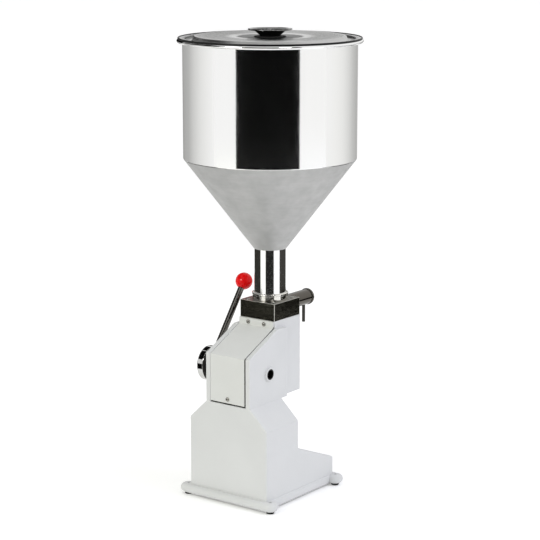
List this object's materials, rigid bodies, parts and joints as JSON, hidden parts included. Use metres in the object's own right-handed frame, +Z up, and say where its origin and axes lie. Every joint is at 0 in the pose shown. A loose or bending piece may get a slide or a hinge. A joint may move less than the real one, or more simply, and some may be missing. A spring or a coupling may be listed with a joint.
{
  "type": "manual cream filling machine",
  "caption": "Hand-operated cream filler: a lidded steel hopper feeds a valve block, and a side lever drives a piston that pushes a set dose out of a small nozzle.",
  "frame": {"origin": "on the floor under the hopper's vertical axis", "axes": "+Z up along the hopper's axis; the outlet tube and nozzle point along -Y, the rear cover faces +Y and the hand lever is on the +X side"},
  "size_m": [0.28, 0.28, 0.7144],
  "materials": {
    "white_paint": "semi-gloss white powder coat on cast metal",
    "cover_paint": "semi-gloss white powder coat on bent sheet",
    "rubber": "matte black rubber",
    "seal_rubber": "smooth black food-grade seal rubber",
    "zinc_steel": "zinc-plated fastener steel",
    "black_steel": "black-oxide screw steel",
    "ground_steel": "ground machine steel",
    "spring_steel": "drawn stainless spring wire",
    "bronze": "turned bearing bronze",
    "satin_stainless": "satin stainless steel",
    "polished_stainless": "mirror-polished stainless steel",
    "block_stainless": "polished stainless block with fine scratches",
    "chrome": "bright chrome plate",
    "dark_chrome": "chrome-plated round bar",
    "red_phenolic": "glossy moulded red plastic",
    "black_plastic": "matte black moulded plastic"
  },
  "bodies": {
    "frame": {"base_casting": "white_paint", "rubber_feet": "rubber", "foot_screws": "zinc_steel", "gear_housing": "white_paint", "housing_bolts": "zinc_steel", "rear_cover": "cover_paint", "cover_screws": "zinc_steel", "shaft_bush_left": "bronze", "shaft_bush_right": "bronze", "cylinder_sleeve": "polished_stainless", "sleeve_gasket": "seal_rubber", "dose_retainer": "zinc_steel", "retainer_screws": "black_steel", "valve_block": "block_stainless", "block_screws": "zinc_steel", "inlet_seat": "satin_stainless", "inlet_gasket": "seal_rubber", "inlet_spring": "spring_steel", "outlet_tube": "polished_stainless", "outlet_spring": "spring_steel", "outlet_end_cap": "polished_stainless", "outlet_seal": "seal_rubber", "nozzle": "satin_stainless", "neck_lock_ring": "polished_stainless", "hopper_neck": "polished_stainless", "hopper_cone": "satin_stainless", "hopper_barrel": "polished_stainless"},
    "lid": {"lid_shell": "satin_stainless", "lid_washer": "rubber", "lid_knob": "polished_stainless", "lid_knob_screw": "zinc_steel"},
    "lever": {"cross_shaft": "ground_steel", "shaft_spacers": "ground_steel", "pinion": "ground_steel", "pinion_key": "black_steel", "lever_hub": "chrome", "hub_grub_screw": "black_steel", "lever_rod": "dark_chrome", "lever_ball": "red_phenolic"},
    "piston_group": {"rack": "ground_steel", "rack_screws": "black_steel", "crosshead": "bronze", "piston_rod": "ground_steel", "piston_rod_nut": "zinc_steel", "piston": "satin_stainless", "piston_seals": "seal_rubber"},
    "inlet_poppet": {"inlet_valve": "satin_stainless", "inlet_clip": "satin_stainless"},
    "outlet_check_ball": {"outlet_ball": "satin_stainless"},
    "dose_nut": {"dose_knob": "black_plastic"},
    "dose_stop": {"dose_screw": "ground_steel"}
  },
  "joints": [
    {"name": "lid_lift", "type": "slide", "parent": "frame", "child": "lid", "axis": [0, 0, 1], "range_m": [0, 0.25]},
    {"name": "lever_swing", "type": "hinge", "parent": "frame", "child": "lever", "pos_m": [0, 0.059, 0.2], "axis": [1, 0, 0], "range_deg": [-26, 64]},
    {"name": "piston_travel", "type": "slide", "parent": "frame", "child": "piston_group", "axis": [0, 0, 1], "range_m": [-0.0236, 0.0096]},
    {"name": "inlet_open", "type": "slide", "parent": "frame", "child": "inlet_poppet", "axis": [0, 0, -1], "range_m": [0, 0.004], "stiffness_N_per_m": 300, "springref_m": -0.006, "deforming": ["inlet_spring"]},
    {"name": "outlet_open", "type": "slide", "parent": "frame", "child": "outlet_check_ball", "axis": [0, -1, 0], "range_m": [0, 0.005], "stiffness_N_per_m": 200, "springref_m": -0.008, "deforming": ["outlet_spring"]},
    {"name": "dose_rise", "type": "slide", "parent": "frame", "child": "dose_stop", "axis": [0, 0, -1], "range_m": [-0.022, 0]},
    {"name": "dose_turn", "type": "hinge", "parent": "frame", "child": "dose_nut", "pos_m": [0, 0, 0.138], "axis": [0, 0, 1], "range_deg": [-2641, 0]}
  ],
  "couplings": [
    {"joint": "piston_travel", "follows": "lever_swing", "m_per_rad": -0.021},
    {"joint": "dose_turn", "follows": "dose_rise", "rad_per_m": 2094.4}
  ]
}
